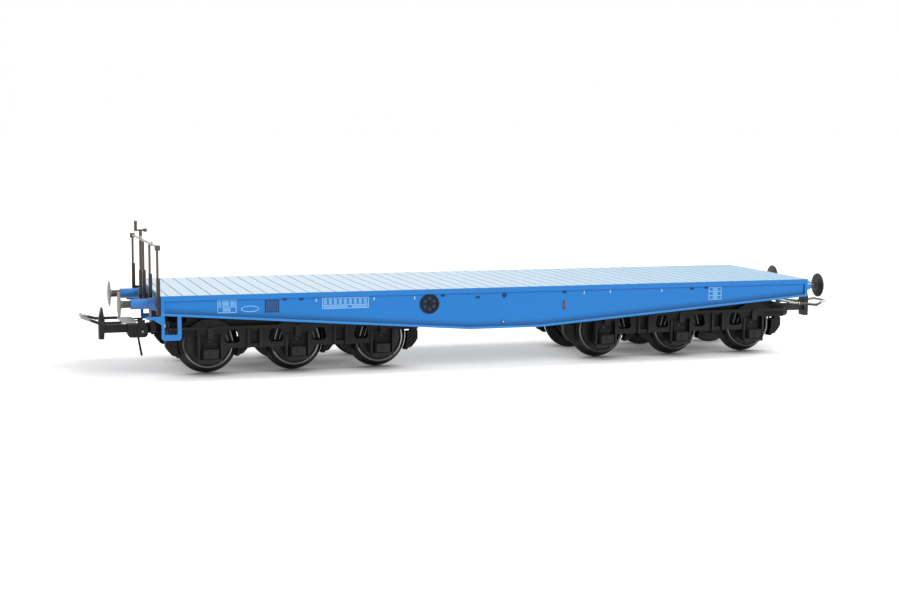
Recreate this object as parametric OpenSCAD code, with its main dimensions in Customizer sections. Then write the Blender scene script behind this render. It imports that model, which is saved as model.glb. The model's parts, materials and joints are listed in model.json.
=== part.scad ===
// Heavy six-axle flat wagon, a railway model at about 1:87
// +X is the plain end, -X the handbrake end, z = 0 is the floor below the wheel flanges

/* [Deck] */
// Length of the deck over the headstocks
deck_length = 137.6; // [132:0.2:144]
// Width of the deck
deck_width = 35.8; // [34.8:0.1:37]
// Height of the deck above the floor
deck_top = 16.5; // [16.3:0.1:17.5]
// Thickness of the deck
deck_thick = 1; // [0.8:0.05:1.2]
// Spacing of the floor planks
plank_pitch = 2.7; // [2.2:0.1:4]
// Width of the gap between two planks
plank_gap = 0.2; // [0.1:0.05:0.4]
// Depth of the gap between two planks
plank_groove = 0.15; // [0.1:0.05:0.3]

/* [Side sills] */
// Height of the sill bottom at its ends
sill_end = 12.8; // [12.4:0.1:13.4]
// Height of the sill bottom in the middle
sill_mid = 8.2; // [7.5:0.1:9.5]
// Length of the deep flat part
sill_flat = 15; // [8:0.5:24]
// Web thickness
sill_web = 0.6; // [0.4:0.05:0.8]
// How far the web lies inside the deck edge
sill_recess = 0.3; // [0.2:0.05:0.5]
// Thickness of the bottom flange
sill_flange = 0.45; // [0.3:0.05:0.7]
// Thickness of a headstock
headstock_thick = 1; // [0.7:0.05:1.4]

/* [Buffers] */
// Height of the buffer axis
buffer_height = 14.27; // [14:0.05:14.5]
// Distance between the two buffers of one end
buffer_spacing = 20.1; // [18:0.1:22]
// Distance from the headstock to the buffer face
buffer_reach = 7.4; // [6.5:0.1:8.5]
// Radius of a buffer face
buffer_radius = 2.6; // [2:0.1:2.8]
// Radius of a buffer housing
housing_radius = 1; // [0.9:0.05:1.2]

/* [Handbrake end] */
// Height of the railing top
rail_height = 25.7; // [23:0.1:27]
// Height of the crank arms above the railing top
crank_rise = 1.3; // [1:0.1:2]
// How far one end of the railing stands out beyond the other
rail_splay = 0.93; // [0:0.05:1.2]
// Radius of a railing post
post_radius = 0.24; // [0.2:0.02:0.35]
// Height of the bracket tops that hold the posts
bracket_top = 19.8; // [18:0.1:21]
// Height of the step treads
step_low = 8; // [7:0.1:9]
// Width of a step
step_width = 3.7; // [3:0.1:4.5]

/* [Bogies and wheels] */
// Gap between a bogie and the deck end
bogie_gap = 2.25; // [2.2:0.05:4]
// Gap between the flanges of two neighbouring wheels
wheel_gap = 4.85; // [4.4:0.05:5]
// Flange radius of a wheel, also the axle height
flange_radius = 6.2; // [6:0.05:6.25]
// Tread radius of a wheel
tread_radius = 5.2; // [5:0.05:5.3]
// Distance between the backs of the two wheels
back_to_back = 14.3; // [14:0.05:14.5]
// Width of a wheel
wheel_width = 2.8; // [2.5:0.05:2.9]
// Radius of the axle
axle_radius = 1; // [0.8:0.05:1.2]
// Radius of the axle journal
journal_radius = 0.6; // [0.5:0.05:0.7]
// Radius of the bogie pivot pin
pivot_radius = 1.5; // [1.2:0.05:1.8]
// Radial play of the bearings
play = 0.05; // [0.02:0.01:0.08]
// Height of the side frame's ledge above the axle
frame_rise = 3.6; // [3.4:0.1:3.8]
// Depth of the side frame's lower edge below the axle
frame_drop = 0.8; // [0.5:0.1:1.2]
// Depth of the axle box keeper below the axle
keeper_drop = 3.4; // [3:0.1:3.8]

/* [Couplers] */
// Distance from the headstock to the coupler face
coupler_reach = 10.1; // [9.4:0.1:11]
// Distance from the headstock to the loop front
loop_reach = 13.4; // [13:0.1:14]
// Width of the loop between wire middles
loop_width = 8.4; // [8:0.1:9]
// Radius of the loop wire
loop_wire = 0.3; // [0.2:0.05:0.35]
// Height of the loop pivot
loop_z = 8.1; // [8:0.02:8.2]
// Rise of the loop's nose above its arms
loop_rise = 1.05; // [0.5:0.05:1.5]
// Angle by which the loop at the plain end hangs below the level one
loop_drop = 6; // [0:1:6]

/* [Hidden] */
$fn = 48;
half_l = deck_length / 2;
half_w = deck_width / 2;
deck_under = deck_top - deck_thick;
sill_out = half_w - sill_recess;
sill_in = sill_out - sill_web;
head_in = half_l - headstock_thick;
axle_z = flange_radius;
axle_spacing = 2 * flange_radius + wheel_gap;
wheel_out = back_to_back / 2 + wheel_width;
under_z = 2 * flange_radius + 0.6;

// Bogie places, measured from the bogie pivot
side_in = wheel_out + 1.25;
side_floor = side_in + 0.7;
side_out = side_in + 1.4;
box_out = side_out + 1.1;
frame_top = axle_z + frame_rise;
frame_low = axle_z - frame_drop;
keeper_low = axle_z - keeper_drop;
beam_low = axle_z + 2;
transom_x = axle_spacing / 2;
transom_half = wheel_gap * 0.33;
end_beam = axle_spacing + flange_radius + 0.65;
end_out = end_beam + 0.9;
bx = half_l - bogie_gap - end_out;
bearer_x = (bx - end_out) * 0.72;
bearer_half = 0.5;
bolster_half = 5;

// Ends
swing_x = half_l - 0.8;
swing_radius = 0.7;
pocket_low = 9.4;
coupler_face = half_l + coupler_reach;
loop_front = half_l + loop_reach;
loop_x = half_l + 1.75;
loop_pin = 0.5;
arm_z = loop_z + 1.9;
post_y = [-half_w + 0.9, -0.39 * half_w, 0.084 * half_w, half_w - 0.9];
rail_angle = atan2(rail_splay, deck_width - 1.8);
function post_x(y) = -half_l - 0.48 - rail_splay * (y + half_w - 0.9) / (deck_width - 1.8);
crank_y = 0.28 * half_w;
crank_x = post_x(crank_y);
crank_column = 0.33;
crank_height = rail_height + crank_rise;
handwheel_x = -0.231 * half_l;

blue = [0.27, 0.56, 0.85];
black = [0.16, 0.16, 0.16];
steel = [0.6, 0.6, 0.6];

// Block between two corners
module xyz(x0, x1, y0, y1, z0, z1) {
  translate([x0, y0, z0]) cube([x1 - x0, y1 - y0, z1 - z0]);
}
module both_y() { children(); mirror([0, 1, 0]) children(); }
module both_x() { children(); mirror([1, 0, 0]) children(); }
// A profile drawn in x and z, spread over y0 to y1
module side_plate(y0, y1) {
  translate([0, y1, 0]) rotate([90, 0, 0]) linear_extrude(y1 - y0) children();
}
// A rod along y
module rod_y(x, z, r, y0, y1) {
  translate([x, y1, z]) rotate([90, 0, 0]) cylinder(r = r, h = y1 - y0);
}
module post(x, y, z0, z1, r) { translate([x, y, z0]) cylinder(r = r, h = z1 - z0); }
module bead(x, y, z) { translate([x, y, z]) rotate([90, 0, 0]) sphere(r = loop_wire * 1.1, $fn = 24); }

// Deck of planks
module deck() {
  first = -half_l + plank_pitch / 2;
  last = half_l - plank_pitch / 3;
  color(blue) difference() {
    xyz(-half_l, half_l, -half_w, half_w, deck_under, deck_top);
    for (x = [first : plank_pitch : last])
      translate([x - plank_gap / 2, -half_w - 1, deck_top - plank_groove])
        cube([plank_gap, deck_width + 2, 1]);
  }
}

// Side sills, deepest in the middle
module belly(lift, top) {
  polygon([[-half_l, sill_end + lift], [-sill_flat / 2, sill_mid + lift], [sill_flat / 2, sill_mid + lift],
    [half_l, sill_end + lift], [half_l, top], [-half_l, top]]);
}
module sill_body() {
  side_plate(sill_in, sill_out) belly(0, deck_under);
  side_plate(sill_in, half_w) difference() {
    belly(0, deck_under);
    belly(sill_flange, deck_under + 1);
  }
  both_x() xyz(half_l - 0.65, half_l, sill_in, half_w, sill_end + 0.1, deck_under);
}
module side_sill_left() { color(blue) sill_body(); }
module side_sill_right() { color(blue) mirror([0, 1, 0]) sill_body(); }

// Headstocks across the two ends
module headstock_body() {
  xyz(head_in, half_l, -sill_in, sill_in, sill_end, deck_under);
}
module headstock_plain() { color(blue) headstock_body(); }
module headstock_brake() { color(blue) mirror([1, 0, 0]) headstock_body(); }

// Frame below the deck
cuts = [-head_in, -bx - bolster_half, -bx + bolster_half, -bearer_x - bearer_half, -bearer_x + bearer_half,
  -bearer_half, bearer_half, bearer_x - bearer_half, bearer_x + bearer_half, bx - bolster_half,
  bx + bolster_half, head_in];
module centre_sills() {
  color(black) both_y() for (i = [0 : 2 : len(cuts) - 2])
    xyz(cuts[i], cuts[i + 1], 2, 3, under_z, deck_under);
}
module bolsters() {
  color(black) for (x = [-bx, bx]) difference() {
    xyz(x - bolster_half, x + bolster_half, -sill_in, sill_in, under_z, deck_under);
    post(x, 0, under_z - 1, deck_under + 1, pivot_radius + play);
  }
}
module cross_bearers() {
  color(black) for (x = [-bearer_x, 0, bearer_x])
    xyz(x - bearer_half, x + bearer_half, -sill_in, sill_in, sill_mid + 2.4, deck_under);
}

// Buffers
stem = 2.5;
module at_buffers() {
  for (sx = [-1, 1], sy = [-1, 1])
    translate([sx * half_l, sy * buffer_spacing / 2, buffer_height]) rotate([0, sx * 90, 0]) children();
}
module buffer_housings() {
  root = housing_radius + 0.4;
  color(blue) at_buffers() rotate_extrude()
    polygon([[0, 0], [root, 0], [root, 0.4], [housing_radius + 0.15, 0.9], [housing_radius, 1.5],
      [housing_radius, buffer_reach - stem], [0, buffer_reach - stem]]);
}
module buffer_heads() {
  r = buffer_radius;
  color(steel) at_buffers() translate([0, 0, buffer_reach - stem]) rotate_extrude()
    polygon([[0, 0], [0.7, 0], [0.7, 1.6], [1, 1.85], [r - 0.15, 2], [r, 2.1], [r, 2.2],
      [r * 0.7, 2.38], [r * 0.35, 2.48], [0, stem]]);
}

// Railing and handbrake at the -X end, the railing splayed and its rail cut for the brake column
module railing() {
  block = 0.95;
  color(black) difference() {
    union() {
      for (y = post_y) {
        x = post_x(y);
        post(x, y, sill_end + 1, rail_height, post_radius);
        xyz(x - 0.25, -half_l, y - 0.4, y + 0.4, sill_end, deck_under - 0.4);
        xyz(x - 0.25, x + 0.42, y - 0.4, y + 0.4, deck_under - 0.5, bracket_top);
      }
      for (y = [0.55 - half_w, half_w - 0.55])
        translate([post_x(y), y, rail_height - 0.1]) rotate([0, 0, rail_angle]) cube(block, center = true);
      translate([post_x(0), 0, rail_height]) rotate([0, 0, rail_angle]) {
        rod_y(0, 0, 0.2, 0.6 - half_w, half_w - 0.6);
        translate([-0.15, -0.59 * half_w, -0.3]) cube([0.3, 0.8, 0.9]);
      }
    }
    post(crank_x, crank_y, bracket_top, crank_height, crank_column + 0.02);
  }
}
module handbrake_crank() {
  arm = 0.95;
  color(black) {
    xyz(crank_x - 0.5, -half_l, crank_y - 0.6, crank_y + 0.6, sill_end, deck_under - 0.9);
    post(crank_x, crank_y, sill_end + 1, crank_height + 0.5, crank_column);
    post(crank_x, crank_y, sill_end + 1, bracket_top - 0.4, 0.45);
    translate([crank_x, crank_y, crank_height + 0.3]) {
      xyz(-arm, arm, -0.2, 0.2, 0, 0.35);
      post(-arm, 0, 0, 2.1, 0.32);
      post(arm, 0, -0.15, 0.5, 0.38);
    }
  }
}

// Steps at the two corners of the -X end, each with a bracket that reaches out below the buffers
module step_profile() {
  x0 = -half_l + 0.1;
  r = 0.6;
  difference() {
    union() {
      translate([x0, step_low + r]) square([step_width, sill_end - step_low]);
      translate([x0 + r, step_low]) square([step_width - 2 * r, 2 * r]);
      for (x = [r, step_width - r]) translate([x0 + x, step_low + r]) circle(r = r);
      polygon([[-half_l - 2.8, sill_end - 0.2], [x0 + 0.9, sill_end - 0.2], [x0 + 0.4, sill_end - 2.1],
        [-half_l - 1.4, sill_end - 0.8], [-half_l - 2.8, sill_end - 0.65]]);
    }
    translate([x0 + 0.55, step_low + 1.1]) square([step_width - 1.25, sill_end - step_low]);
    belly(0, deck_top);
  }
}
module steps() {
  x0 = -half_l + 0.8;
  color(blue) both_y() {
    side_plate(half_w - 0.6, half_w) step_profile();
    xyz(x0, x0 + step_width - 1.4, half_w - 2, half_w - 0.6, step_low + 0.2, step_low + 0.7);
  }
}

// Brake changeover wheels on the side sills
module handwheels() {
  rim = 1.95;
  z = (sill_end + deck_under) / 2 - 0.6;
  color(black) both_y() translate([handwheel_x, -sill_out, z]) rotate([90, 0, 0]) {
    cylinder(r = 0.5, h = sill_recess);
    cylinder(r = rim - 0.1, h = sill_recess * 0.3);
    difference() {
      cylinder(r = rim, h = sill_recess * 0.75);
      translate([0, 0, -1]) cylinder(r = rim - 0.5, h = 3);
    }
    for (a = [0, 60, 120]) rotate([0, 0, a]) xyz(0.4 - rim, rim - 0.4, -0.2, 0.2, 0, sill_recess * 0.5);
  }
}

// Coupler pockets with their swing pins
module coupler_pockets() {
  color(black) both_x() {
    xyz(half_l - 1.5, half_l, -2.2, 2.2, pocket_low, sill_end);
    post(swing_x, 0, pocket_low - 2.4, pocket_low + 0.1, swing_radius);
  }
}

// Bogie frame: spine, cross beams, end beams and pivot
module bogie_frame() {
  spine_top = frame_top + 0.6;
  end_low = frame_top - 0.2;
  end_top = frame_top + 0.8;
  color(black) {
    xyz(-14, 14, -5, 5, beam_low, spine_top);
    both_x() {
      xyz(transom_x - transom_half, transom_x + transom_half, -side_in, side_in, beam_low, frame_top - 0.2);
      xyz(end_beam, end_out, -side_in, side_in, end_low, end_top);
      xyz(13.5, end_beam + 0.1, -1.5, 1.5, end_low, end_top);
    }
    post(0, 0, spine_top - 0.2, under_z - play, 3.6);
    post(0, 0, spine_top - 0.2, deck_under - 0.5, pivot_radius);
  }
}

// Side frames: a plate with windows beside the axle boxes, an outer layer, ribs and stops
module at_axles() { for (i = [-1, 0, 1]) translate([i * axle_spacing, 0]) children(); }
module side_window() {
  polygon([[2.8, frame_low + 1.5], [3.3, frame_low + 1], [5.3, frame_low + 1], [5.8, frame_low + 1.5],
    [5.45, frame_top - 1.2], [5.1, frame_top - 0.85], [3.5, frame_top - 0.85], [3.2, frame_top - 1.2]]);
}
module side_outline() {
  end_x = axle_spacing + 2.6;
  difference() {
    union() {
      translate([-end_x, frame_low]) square([2 * end_x, frame_top - frame_low]);
      translate([-end_out, frame_top - 0.6]) square([2 * end_out, 0.6]);
      at_axles() polygon([[-2.6, axle_z - 0.2], [-2.5, keeper_low + 0.8], [-2.2, keeper_low],
        [2.2, keeper_low], [2.5, keeper_low + 0.8], [2.6, axle_z - 0.2]]);
    }
    for (i = [-1, 0]) translate([i * axle_spacing, 0]) side_window();
    for (i = [0, 1]) translate([i * axle_spacing, 0]) mirror([1, 0]) side_window();
  }
}
module side_body() {
  difference() {
    side_plate(side_in, side_floor) {
      side_outline();
      translate([-axle_spacing - 4.3, frame_top - 0.1]) square([2 * axle_spacing + 8.6, 2]);
      translate([-end_out, frame_top - 0.1]) square([2 * end_out, 0.9]);
    }
    for (i = [-1, 0, 1]) rod_y(i * axle_spacing, axle_z, journal_radius + play, side_in - 1, side_out + 1);
  }
  side_plate(side_floor - 0.1, side_out) difference() {
    side_outline();
    at_axles() translate([-2, keeper_low + 0.6]) square([4, 4.8]);
    for (i = [-1, 1]) translate([i * transom_x - 0.85, frame_low + 0.8]) square([1.7, 2.6]);
  }
  xyz(-end_out, end_out, side_out - 0.1, side_out + 0.4, frame_top - 0.6, frame_top);
  both_x() for (s = [-1, 1]) {
    rib = transom_x + s * 1.2;
    xyz(rib - 0.22, rib + 0.22, side_out - 0.1, side_out + 0.45, frame_low, frame_top - 0.5);
  }
  for (i = [-1, 0, 1]) {
    x = i * axle_spacing;
    xyz(x - 0.54, x + 0.54, side_out - 0.1, side_out + 0.7, axle_z + 1.3, frame_top - 0.2);
    for (g = [x - 2.2, x + 2.2])
      xyz(g - 0.2, g + 0.2, side_out - 0.1, side_out + 0.3, keeper_low + 0.6, axle_z + 1.7);
  }
}
module bogie_sides() { color(black) both_y() side_body(); }

// Axle boxes with lids, and the keepers below them
module bogie_boxes() {
  color(black) both_y() for (i = [-1, 0, 1]) translate([i * axle_spacing, 0, axle_z]) {
    xyz(-1.6, 1.6, side_floor, side_out + 0.4, 0.7 - keeper_drop, -0.8);
    xyz(-1.3, 1.3, side_floor, side_floor + 0.25, -0.9, 0.4);
    xyz(-1.4, 1.4, side_out + 0.3, box_out, 0.8 - keeper_drop, -0.9);
    rod_y(0, -1.55, 0.35, side_out + 0.3, box_out + 0.2);
    xyz(-2.2, 2.2, side_out, side_out + 0.5, -keeper_drop, 0.6 - keeper_drop);
  }
}

// Brake shoes in the plane of the treads, hung from the cross beams and the end beams
module shoe(hang_in, hang_out, hang) {
  face = tread_radius + 0.85;
  back = transom_x - 0.35;
  side_plate(back_to_back / 2 + 0.95, wheel_out - 0.2) translate([0, axle_z]) difference() {
    polygon([[face * 0.7, -2.65], [face - 0.05, -2.85], [face + 0.25, -2.5], [back - 1.3, -2.3],
      [back - 0.5, -1.4], [back, -0.6], [back, 1], [hang_out, 1.8], [hang_out, hang], [hang_in, hang],
      [hang_in, 0.9], [face * 0.7, 0.9]]);
    circle(r = face);
  }
}
module bogie_shoes() {
  cross_in = transom_x - transom_half + 0.1;
  color(black) both_y() both_x() {
    translate([axle_spacing, 0, 0])
      shoe(end_beam - axle_spacing, end_out - axle_spacing, frame_rise - 0.2);
    translate([axle_spacing, 0, 0]) mirror([1, 0, 0]) shoe(cross_in, cross_in + 1, beam_low - axle_z);
    shoe(cross_in, cross_in + 1, beam_low - axle_z);
  }
}
module bogie_a_frame() { translate([-bx, 0, 0]) bogie_frame(); }
module bogie_a_sides() { translate([-bx, 0, 0]) bogie_sides(); }
module bogie_a_boxes() { translate([-bx, 0, 0]) bogie_boxes(); }
module bogie_a_shoes() { translate([-bx, 0, 0]) bogie_shoes(); }
module bogie_b_frame() { translate([bx, 0, 0]) bogie_frame(); }
module bogie_b_sides() { translate([bx, 0, 0]) bogie_sides(); }
module bogie_b_boxes() { translate([bx, 0, 0]) bogie_boxes(); }
module bogie_b_shoes() { translate([bx, 0, 0]) bogie_shoes(); }

// Wheelsets
module wheels(x) {
  w = wheel_width;
  f = flange_radius;
  t = tread_radius;
  color(steel) translate([x, 0, axle_z]) both_y() translate([0, -back_to_back / 2, 0]) rotate([90, 0, 0])
    rotate_extrude($fn = 96) polygon([[axle_radius, 0.3], [2, 0.3], [3.6, 0.6], [4.3, 0], [f - 0.3, 0],
      [f, 0.3], [f - 0.15, 0.6], [t + 0.25, 0.85], [t + 0.05, 1.1], [t, w - 0.4], [t - 0.3, w],
      [t - 0.55, w], [t - 0.62, w - 0.6], [t - 0.9, w - 0.6], [t - 1, w - 0.25], [1.9, w - 0.25], [1.8, w],
      [axle_radius, w]]);
}
module axle(x) {
  color(steel) translate([x, 0, axle_z]) {
    rod_y(0, 0, axle_radius, -wheel_out, wheel_out);
    both_y() rod_y(0, 0, journal_radius, wheel_out, side_floor - 0.1);
  }
}
axle_x = [-bx - axle_spacing, -bx, -bx + axle_spacing, bx - axle_spacing, bx, bx + axle_spacing];
module wheels_1() { wheels(axle_x[0]); }
module wheels_2() { wheels(axle_x[1]); }
module wheels_3() { wheels(axle_x[2]); }
module wheels_4() { wheels(axle_x[3]); }
module wheels_5() { wheels(axle_x[4]); }
module wheels_6() { wheels(axle_x[5]); }
module axle_1() { axle(axle_x[0]); }
module axle_2() { axle(axle_x[1]); }
module axle_3() { axle(axle_x[2]); }
module axle_4() { axle(axle_x[3]); }
module axle_5() { axle(axle_x[4]); }
module axle_6() { axle(axle_x[5]); }

// Couplers: eye, shank, pivot block and hooked face plate
module block_profile() {
  low = loop_z - 1.5;
  translate([half_l + 0.6, low + 0.8]) square([4, 1.75]);
  translate([half_l + 1.4, low]) square([2.4, 1]);
  for (x = [1.4, 3.8]) translate([half_l + x, low + 0.8]) circle(r = 0.8);
}
module coupler_body() {
  eye_low = pocket_low - 2;
  c = coupler_face;
  color(black) {
    difference() {
      union() {
        post(swing_x, 0, eye_low, eye_low + 1.9, 1.6);
        xyz(swing_x, c - 0.5, -0.7, 0.7, eye_low + 0.2, eye_low + 1.75);
      }
      post(swing_x, 0, eye_low - 1, pocket_low + 2, swing_radius + play);
    }
    side_plate(-1.6, 1.6) block_profile();
    side_plate(-1.2, 1.2) polygon([[c - 1, 6.4], [c, 6.4], [c, 10.4], [c - 0.5, 12.6],
      [c - 0.75, 12.6], [c - 1.15, 10]]);
    rod_y(loop_x, loop_z, loop_pin, -2.3, 2.3);
  }
}
module coupler_a() { mirror([1, 0, 0]) coupler_body(); }
module coupler_b() { coupler_body(); }

// Loops: cheeks on the pivot block, a flat clip, level arms, a raised nose and a tail wire that leans back
module loop_body() {
  y = loop_width / 2;
  bend_x = coupler_face + 0.2;
  nose_y = y - 1.9;
  nose_z = arm_z + loop_rise;
  level = sqrt(pow(loop_front - bend_x, 2) + pow(y - nose_y, 2));
  color(steel) {
    both_y() {
      difference() {
        union() {
          rod_y(loop_x, loop_z, loop_pin + 0.4, 1.7, 2.1);
          xyz(loop_x - 0.5, loop_x + 0.5, 1.7, 2.1, loop_z, arm_z + 0.1);
        }
        rod_y(loop_x, loop_z, loop_pin + play, 1, 3);
      }
      xyz(loop_x - 0.5, loop_x + 2.5, 1.7, 2.1, arm_z - 0.15, arm_z + 0.15);
      translate([loop_x + 4, y, arm_z]) rotate([0, 90, 0]) cylinder(r = loop_wire, h = bend_x - loop_x - 4);
      bead(bend_x, y, arm_z);
      translate([bend_x, y, arm_z])
        rotate([0, atan2(level, loop_rise), atan2(nose_y - y, loop_front - bend_x)])
          cylinder(r = loop_wire, h = sqrt(pow(level, 2) + pow(loop_rise, 2)));
      bead(loop_front, nose_y, nose_z);
    }
    rod_y(loop_front, nose_z, loop_wire, -nose_y, nose_y);
    xyz(loop_x + 1.5, loop_x + 4.3, -y, y, arm_z - 0.13, arm_z + 0.13);
    translate([loop_x + 0.75, 1.95, loop_z - 0.2]) rotate([0, 190, 0]) cylinder(r = 0.22, h = 5.5);
  }
}
module lowered(angle) {
  translate([loop_x, 0, loop_z]) rotate([0, angle, 0]) translate([-loop_x, 0, -loop_z]) children();
}
module loop_a() { mirror([1, 0, 0]) loop_body(); }
module loop_b() { lowered(loop_drop) loop_body(); }

deck();
side_sill_left();
side_sill_right();
headstock_plain();
headstock_brake();
centre_sills();
bolsters();
cross_bearers();
buffer_housings();
buffer_heads();
railing();
handbrake_crank();
steps();
handwheels();
coupler_pockets();
bogie_a_frame();
bogie_a_sides();
bogie_a_boxes();
bogie_a_shoes();
bogie_b_frame();
bogie_b_sides();
bogie_b_boxes();
bogie_b_shoes();
wheels_1();
wheels_2();
wheels_3();
wheels_4();
wheels_5();
wheels_6();
axle_1();
axle_2();
axle_3();
axle_4();
axle_5();
axle_6();
coupler_a();
coupler_b();
loop_a();
loop_b();
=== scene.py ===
"""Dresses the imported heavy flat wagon: finishes, small fittings, side marks and the stage."""

import json
import math

import bmesh
import bpy
from bpy.props import FloatProperty, FloatVectorProperty, PointerProperty
from mathutils import Matrix, Vector

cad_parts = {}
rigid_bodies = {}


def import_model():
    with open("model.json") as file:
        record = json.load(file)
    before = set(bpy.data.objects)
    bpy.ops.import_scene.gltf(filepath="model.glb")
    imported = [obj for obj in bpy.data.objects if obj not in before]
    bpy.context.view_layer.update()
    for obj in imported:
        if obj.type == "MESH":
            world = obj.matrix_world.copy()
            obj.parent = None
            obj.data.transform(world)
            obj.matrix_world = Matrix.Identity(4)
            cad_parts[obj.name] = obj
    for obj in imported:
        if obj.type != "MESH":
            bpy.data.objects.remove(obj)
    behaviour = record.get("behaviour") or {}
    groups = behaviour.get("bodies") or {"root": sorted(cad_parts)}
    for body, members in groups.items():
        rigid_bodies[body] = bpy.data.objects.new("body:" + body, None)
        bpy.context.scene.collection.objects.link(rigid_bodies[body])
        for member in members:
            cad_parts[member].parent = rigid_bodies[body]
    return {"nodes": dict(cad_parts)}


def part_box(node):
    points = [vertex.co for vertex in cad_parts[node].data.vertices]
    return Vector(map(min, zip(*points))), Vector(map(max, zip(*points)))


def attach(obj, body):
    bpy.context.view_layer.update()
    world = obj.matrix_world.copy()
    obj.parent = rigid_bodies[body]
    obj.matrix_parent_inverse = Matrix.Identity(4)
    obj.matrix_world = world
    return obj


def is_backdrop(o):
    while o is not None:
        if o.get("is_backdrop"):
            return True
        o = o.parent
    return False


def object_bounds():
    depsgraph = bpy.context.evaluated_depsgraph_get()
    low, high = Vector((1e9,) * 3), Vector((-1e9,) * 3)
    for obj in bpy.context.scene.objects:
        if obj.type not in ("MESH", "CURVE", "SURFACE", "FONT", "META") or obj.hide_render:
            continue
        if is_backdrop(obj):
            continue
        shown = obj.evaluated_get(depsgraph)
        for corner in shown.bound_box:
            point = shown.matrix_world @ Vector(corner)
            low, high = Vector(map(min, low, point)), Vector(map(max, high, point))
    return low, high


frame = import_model()
CAD_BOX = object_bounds()

bl_info = {
    "name": "Heavy flat wagon dressing",
    "version": (1, 0, 0),
    "blender": (4, 5, 0),
    "location": "View3D > Sidebar > Wagon",
    "description": "Finishes, fittings, side marks and stage for a model railway heavy flat wagon",
    "category": "Object",
}

MM = 0.001
BOTH = (-1, 1)                    # the two sides, or the two ends
STRAIGHT = (0, 0, 0)              # a repeated shape that isn't turned
ACROSS = (math.pi / 2, 0, 0)      # a rod that lies across the wagon


# Places that the frame gives

def corners(node):
    """The lowest and the highest corner of a CAD node's box."""
    return [Vector(corner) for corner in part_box(node)]


def middle(node):
    """The middle of a CAD node's box."""
    low, high = corners(node)
    return (low + high) / 2


DECK_LOW, DECK_HIGH = corners("deck")
SILL_LOW = corners("side_sill_right")[0]
SIDES_LOW, SIDES_HIGH = corners("bogie_a_sides")
BOXES_HIGH = corners("bogie_a_boxes")[1]
RAIL_LOW, RAIL_HIGH = corners("railing")
WHEEL_HIGH = corners("wheels_1")[1]
HOOK_HIGH = corners("coupler_b")[1]

AXLES = {letter: [middle(f"axle_{number}") for number in numbers]
         for letter, numbers in (("a", (1, 2, 3)), ("b", (4, 5, 6)))}
AXLE_Z = AXLES["a"][0].z
AXLE_SPACING = AXLES["a"][1].x - AXLES["a"][0].x
PIVOT_X = AXLES["b"][1].x

# The pin that a coupler loop lifts on
LOOP_X = DECK_HIGH.x + 1.75 * MM
LOOP_Z = 8.1 * MM


# Settings a user would change

class WagonSizes(bpy.types.PropertyGroup):
    """Sizes of the fittings and marks."""
    sill_recess: FloatProperty(
        name="Sill recess", description="How far the sill web lies inside the deck edge",
        default=0.3 * MM, unit="LENGTH")
    sill_end: FloatProperty(
        name="Sill end", description="Height of the sill's lower edge at its ends",
        default=12.8 * MM, unit="LENGTH")
    sill_flat: FloatProperty(
        name="Sill flat", description="Length of the sill's deep flat part",
        default=15 * MM, unit="LENGTH")
    sill_flange: FloatProperty(
        name="Sill flange", description="Thickness of the sill's lower flange",
        default=0.45 * MM, unit="LENGTH")
    plank: FloatProperty(
        name="Plank", description="Spacing of the deck planks",
        default=2.7 * MM, unit="LENGTH")
    mark_line: FloatProperty(
        name="Mark line", description="Width of a painted line on the side",
        default=0.11 * MM, unit="LENGTH")
    mark_proud: FloatProperty(
        name="Mark thickness", description="How far a painted mark stands off the web",
        default=0.02 * MM, unit="LENGTH")
    link_thickness: FloatProperty(
        name="Link thickness", description="Thickness of a spring link in a side frame window",
        default=0.2 * MM, unit="LENGTH")
    link_length: FloatProperty(
        name="Link length", description="Length of a spring link",
        default=2.1 * MM, unit="LENGTH")
    link_lean: FloatProperty(
        name="Link lean", description="Angle of a spring link from upright",
        default=math.radians(16), unit="ROTATION")
    bolt_radius: FloatProperty(
        name="Bolt radius", description="Radius of an axle box bolt head",
        default=0.15 * MM, unit="LENGTH")
    bolt_height: FloatProperty(
        name="Bolt height", description="Height of an axle box bolt head",
        default=0.14 * MM, unit="LENGTH")
    rivet_radius: FloatProperty(
        name="Rivet radius", description="Radius of the bright rivet on a loop's pin",
        default=0.2 * MM, unit="LENGTH")
    leaf_length: FloatProperty(
        name="Leaf length", description="Length of the longest leaf of a spring",
        default=7.4 * MM, unit="LENGTH")
    leaf_width: FloatProperty(
        name="Leaf width", description="Width of a spring's leaves",
        default=0.9 * MM, unit="LENGTH")
    leaf_thickness: FloatProperty(
        name="Leaf thickness", description="Height of one leaf of a spring, with its gap",
        default=0.36 * MM, unit="LENGTH")
    mesh_bar: FloatProperty(
        name="Mesh bar", description="Width of a bar of the mesh plate",
        default=0.13 * MM, unit="LENGTH")
    ring_inside: FloatProperty(
        name="Ring inside", description="Inner radius of the bright ring on a wheel",
        default=4.63 * MM, unit="LENGTH")
    ring_outside: FloatProperty(
        name="Ring outside", description="Outer radius of the bright ring on a wheel",
        default=4.92 * MM, unit="LENGTH")


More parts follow.
